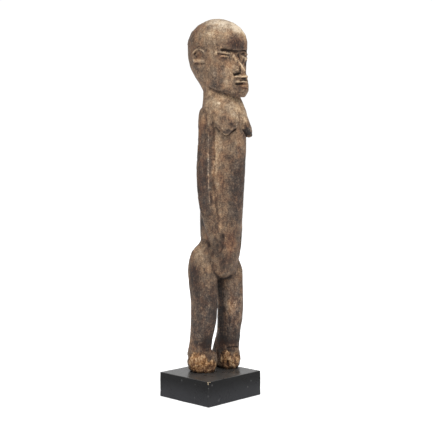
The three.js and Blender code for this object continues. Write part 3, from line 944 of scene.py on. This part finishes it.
def specks_effect():
    """Small scattered spots: dust, pits and flecks."""
    sheet, given, result = effect_group("specks", {"Fineness": 400.0, "Share": 0.1}, ["Mask"])
    warp = sheet.noise(given["Place"], 300.0, 2.0).outputs["Color"]
    warped = sheet.plus(given["Place"], sheet.times(warp, 0.002, 0.002, 0.002))
    cells = sheet.add("ShaderNodeTexVoronoi", {"Vector": warped, "Scale": given["Fineness"]})
    chance = sheet.add("ShaderNodeSeparateColor", {0: cells.outputs["Color"]}).outputs[0]
    chosen = sheet.math("LESS_THAN", chance, given["Share"])
    spot = sheet.span(cells.outputs["Distance"], 0.42, 0.2)
    sheet.feed(result.inputs["Mask"], sheet.math("MULTIPLY", chosen, spot))
    return sheet.tree


def wear_effect():
    """Where a proud edge is rubbed through, broken up so that it isn't an even line."""
    sheet, given, result = effect_group("edge_wear", {"Edge": 0.0, "Raggedness": 0.5}, ["Mask"])
    breaks = sheet.noise(given["Place"], 220.0, 4.0, 0.65).outputs["Fac"]
    lost = sheet.math("MULTIPLY", sheet.math("SUBTRACT", 1.0, breaks), given["Raggedness"])
    left = sheet.math("SUBTRACT", given["Edge"], lost)
    sheet.feed(result.inputs["Mask"], sheet.span(left, 0.12, 0.5))
    return sheet.tree


GRAIN = grain_effect()
MOTTLE = mottle_effect()
SPECKS = specks_effect()
WEAR = wear_effect()


def blotches(sheet, place, fineness, contrast=1.0):
    return sheet.effect(MOTTLE, Place=place, Fineness=fineness, Contrast=contrast)["Blotches"]


def specks(sheet, place, fineness, share):
    return sheet.effect(SPECKS, Place=place, Fineness=fineness, Share=share)["Mask"]


def rubbed_through(sheet, place, edge, raggedness):
    return sheet.effect(WEAR, Place=place, Edge=edge, Raggedness=raggedness)["Mask"]


def new_material(name):
    """A new material, its sheet and its shader."""
    material = bpy.data.materials.new(name)
    material.use_nodes = True
    return material, Sheet(material.node_tree), material.node_tree.nodes["Principled BSDF"]


def relief(sheet, shader, height, distance, strength):
    """The finest relief, by shading alone."""
    bump = sheet.add("ShaderNodeBump", {"Height": height, "Distance": distance, "Strength": strength})
    sheet.feed(shader.inputs["Normal"], bump.outputs["Normal"])


# Colours of the carving, from its darkest crust and painted shade to its palest rubbed wood and painted
# highlight
TONES = [
    (0.0, (0.02, 0.012, 0.008)),
    (0.25, (0.066, 0.042, 0.027)),
    (0.5, (0.165, 0.108, 0.066)),
    (0.75, (0.33, 0.235, 0.145)),
    (1.0, (0.6, 0.48, 0.34)),
]
ASHY = [
    (0.0, (0.016, 0.013, 0.012)),
    (0.25, (0.058, 0.044, 0.037)),
    (0.5, (0.15, 0.115, 0.092)),
    (0.75, (0.32, 0.26, 0.205)),
    (1.0, (0.6, 0.52, 0.42)),
]
RUSTY = [
    (0.0, (0.024, 0.01, 0.006)),
    (0.3, (0.09, 0.042, 0.024)),
    (0.6, (0.25, 0.135, 0.07)),
    (1.0, (0.6, 0.42, 0.24)),
]
# The same for the bare, eroded wood, and the dark border of the crust round it
BARE_WOOD = [
    (0.0, (0.03, 0.013, 0.007)),
    (0.3, (0.15, 0.065, 0.025)),
    (0.6, (0.38, 0.2, 0.08)),
    (1.0, (0.72, 0.52, 0.33)),
]
BARE_BORDER = (0.05, 0.026, 0.015, 1)


def carved_wood():
    """Dark crusted wood, ashen or reddish in places, with pale rubbed edges and bare wood at the feet, and
    painted shade and highlights in its tone.
    """
    material, sheet, shader = new_material("carved_wood")
    place = sheet.place()
    grain = sheet.effect(GRAIN, Place=place, Fineness=300.0, Stretch=0.22)
    clouds = blotches(sheet, place, 60.0)
    blots = blotches(sheet, sheet.times(place, 1, 1, 0.7), 150.0)
    spots = blotches(sheet, place, 420.0)
    grit = blotches(sheet, place, 850.0)
    dust = specks(sheet, place, 380.0, 0.06)
    pits = specks(sheet, sheet.times(place, 1, 1, 0.6), 460.0, 0.2)
    # pale on ridges, partly rubbed wear and partly painted highlight
    rubbed = rubbed_through(sheet, place, sheet.value("ridge"), 0.7)
    turned = sheet.add("ShaderNodeVectorRotate", {"Vector": place, "Axis": (1, -1, 0), "Angle": 0.6})
    marks = sheet.effect(GRAIN, Place=turned.outputs[0], Fineness=420.0, Stretch=0.12)
    hollow = sheet.value("hollow")
    bare = sheet.value("bare")
    ash = sheet.value("ash")

    # the tone darkens in hollows, partly as crust and partly as painted shade, and takes the patches'
    # painted shade and light
    tone = sheet.added(
        sheet.value("tone"),
        (clouds, 0.4), (blots, 0.75), (spots, sheet.added(0.85, (ash, 0.7))), (grit, 0.62),
        (marks["Lines"], 0.15), (sheet.math("SUBTRACT", grain["Streaks"], 0.5), 0.12),
        (rubbed, 0.24), (hollow, -0.45), (pits, -0.14), (dust, 0.16),
        clamp=True,
    )
    other = blotches(sheet, sheet.plus(place, (3.1, 1.7, 2.3)), 90.0, 2.6)
    reddish = sheet.math("ADD", other, sheet.value("rust"), clamp=True)
    ashen = sheet.added(ash, (other, -0.5), clamp=True)
    brown = sheet.mix(ashen, sheet.ramp(tone, TONES), sheet.ramp(tone, ASHY))
    crust = sheet.mix(reddish, brown, sheet.ramp(tone, RUSTY))

    fibre = sheet.effect(GRAIN, Place=place, Fineness=480.0, Stretch=0.35)
    # the bare wood also darkens in hollows as painted shade
    wood_tone = sheet.added(
        0.58,
        (sheet.math("SUBTRACT", fibre["Streaks"], 0.5), 0.7),
        (blots, 2.0), (spots, 1.5), (rubbed, 0.2), (hollow, -0.45),
        clamp=True,
    )
    pinkish = sheet.added(0.5, (other, 1.6), clamp=True)
    wood = sheet.mix(pinkish, sheet.ramp(wood_tone, BARE_WOOD), sheet.ramp(wood_tone, RUSTY))
    eaten = sheet.span(sheet.added(bare, (spots, 1.2), (blots, 1.2)), 0.2, 0.8)
    skin = sheet.mix(eaten, crust, wood)
    border = sheet.math("MULTIPLY", eaten, sheet.math("SUBTRACT", 1.0, eaten))
    border = sheet.math("MULTIPLY", border, 2.4, clamp=True)
    sheet.feed(shader.inputs["Base Color"], sheet.mix(border, skin, BARE_BORDER))

    dull = sheet.added(0.66, (spots, 0.5), (hollow, 0.2), (rubbed, -0.14), (eaten, 0.25), clamp=True)
    sheet.feed(shader.inputs["Roughness"], dull)
    shader.inputs["Specular IOR Level"].default_value = 0.3

    height = sheet.added(
        0.0,
        (grain["Streaks"], 0.3), (blots, 0.5), (spots, 0.5), (pits, -0.35), (grain["Lines"], -0.12),
        (sheet.math("MULTIPLY", fibre["Lines"], eaten), -0.5),
    )
    relief(sheet, shader, height, 1.1 * MM, 0.85)
    return material


# Colours of the black paint, and of what shows on it
PAINT = [(0.0, (0.001, 0.001, 0.0014)), (1.0, (0.025, 0.0255, 0.029))]
RUBBED_PAINT = (0.06, 0.057, 0.055, 1)
SCUFF = (0.1, 0.1, 0.1, 1)
LYING_DUST = (0.062, 0.06, 0.058, 1)
DUST_SPECK = (0.2, 0.19, 0.18, 1)
CHIPPED_WOOD = (0.36, 0.29, 0.2, 1)


def black_paint():
    """Brushed satin black, painted paler towards the bottom as light from the floor and darker towards the
    top as shade, with dust on top, scuffs, rubbed edges and chips.
    """
    material, sheet, shader = new_material("black_paint")
    place = sheet.place()
    brush = sheet.effect(GRAIN, Place=sheet.times(place, 0.3, 0.3, 3.0), Fineness=500.0, Stretch=1.0)
    clouds = blotches(sheet, place, 45.0)
    fine = blotches(sheet, place, 600.0)
    dust = specks(sheet, place, 260.0, 0.012)
    rubbed = rubbed_through(sheet, place, sheet.value("edge"), 1.1)
    chip = sheet.span(sheet.added(sheet.value("chip"), (fine, 1.2)), 0.45, 0.62)
    scuffed = sheet.span(sheet.added(sheet.value("scuff"), (fine, 1.6)), 0.4, 1.0)
    # dust on the top, kept off round the soles as painted contact shadow
    dust_outside_sole_shadow = sheet.math("MULTIPLY", sheet.value("dust"), sheet.span(clouds, -0.25, 0.15, 0.35, 1.0))

    # painted light: paler towards the bottom as if lit from the floor, darker towards the top as painted
    # shade
    height = sheet.add("ShaderNodeSeparateXYZ", {0: place}).outputs[2]
    tone = sheet.added(
        sheet.span(height, 0.0, 35 * MM, 0.9, -0.1),
        (clouds, 0.5),
        (sheet.math("SUBTRACT", brush["Streaks"], 0.5), 0.35),
        clamp=True,
    )
    colour = sheet.mix(sheet.math("MULTIPLY", rubbed, 0.25), sheet.ramp(tone, PAINT), RUBBED_PAINT)
    colour = sheet.mix(sheet.math("MULTIPLY", scuffed, 0.4), colour, SCUFF)
    colour = sheet.mix(dust_outside_sole_shadow, colour, LYING_DUST)
    colour = sheet.mix(sheet.math("MULTIPLY", dust, 0.25), colour, DUST_SPECK)
    sheet.feed(shader.inputs["Base Color"], sheet.mix(chip, colour, CHIPPED_WOOD))

    dull = sheet.added(0.29, (clouds, 0.25), (rubbed, 0.12), (chip, 0.35), clamp=True)
    sheet.feed(shader.inputs["Roughness"], dull)
    shader.inputs["Specular IOR Level"].default_value = 0.14
    uneven = sheet.added(0.0, (fine, 0.5), (brush["Streaks"], 0.5), (chip, -1.2))
    relief(sheet, shader, uneven, 0.2 * MM, 0.4)
    return material


# Stage and light

FLOOR_REACH = 6.0
FLOOR_GREY = (0.8, 0.8, 0.8, 1)
WHITE = (1, 1, 1, 1)
SKY_WHITE = 1.05  # how bright the backdrop is to the camera
BEHIND = (0.72, 0.69, 0.0)  # the way to the backdrop, level
LIT_PLACE = (0, 0, 0.28)  # what the softboxes point at
SOFTBOXES = {  # the place, width and power of each
    "key": ((-0.7, -1.3, 1.9), 0.9, 27),
    "fill": ((-1.9, 0.2, 0.7), 1.2, 5),
}


def floor():
    """A pale disc that glows a little, so that it ends in white."""
    mesh = bpy.data.meshes.new("floor")
    shape = bmesh.new()
    bmesh.ops.create_circle(shape, cap_ends=True, segments=96, radius=FLOOR_REACH)
    shape.to_mesh(mesh)
    shape.free()
    material, sheet, shader = new_material("pale_floor")
    shader.inputs["Base Color"].default_value = FLOOR_GREY
    shader.inputs["Roughness"].default_value = 1.0
    shader.inputs["Specular IOR Level"].default_value = 0.0
    shader.inputs["Emission Color"].default_value = WHITE
    away = sheet.add("ShaderNodeVectorMath", {0: sheet.place()}, operation="LENGTH").outputs["Value"]
    # painted shade: the glow is fainter near the middle, so the floor is darker round the plinth
    sheet.feed(shader.inputs["Emission Strength"], sheet.span(away, 0.15, 1.5, 0.5, 0.8))
    mesh.materials.append(material)
    made = new_object("floor", mesh)


def softbox(name, place, width, power):
    data = bpy.data.lights.new(name, "AREA")
    data.size = width
    data.energy = power
    made = new_object(name, data)
    made.location = place
    made.rotation_euler = (Vector(LIT_PLACE) - Vector(place)).to_track_quat("-Z", "Y").to_euler()


def studio():
    """A white backdrop to the camera, and to the object a pale tent, brighter above and behind."""
    world = bpy.data.worlds.new("studio")
    world.use_nodes = True
    sheet = Sheet(world.node_tree)
    backdrop = world.node_tree.nodes["Background"]
    way = sheet.add("ShaderNodeTexCoord").outputs["Generated"]
    height = sheet.add("ShaderNodeSeparateXYZ", {0: way}).outputs[2]
    tent = sheet.span(height, -0.1, 0.9, 0.36, 0.86)
    behind = sheet.add("ShaderNodeVectorMath", {0: way, 1: BEHIND}, operation="DOT_PRODUCT")
    lit = sheet.math("ADD", tent, sheet.span(behind.outputs["Value"], 0.55, 0.9, 0.0, 0.55))
    seen = sheet.add("ShaderNodeLightPath").outputs["Is Camera Ray"]
    unseen = sheet.math("SUBTRACT", 1.0, seen)
    strength = sheet.added(sheet.math("MULTIPLY", unseen, lit), (seen, SKY_WHITE))
    sheet.feed(backdrop.inputs["Strength"], strength)
    backdrop.inputs["Color"].default_value = WHITE
    bpy.context.scene.world = world
    bpy.context.scene.view_settings.view_transform = "Standard"
    for name, (place, width, power) in SOFTBOXES.items():
        softbox(name, place, width, power)


camera()
floor()
studio()
plinth_block(carved_figure())

bpy.context.view_layer.update()
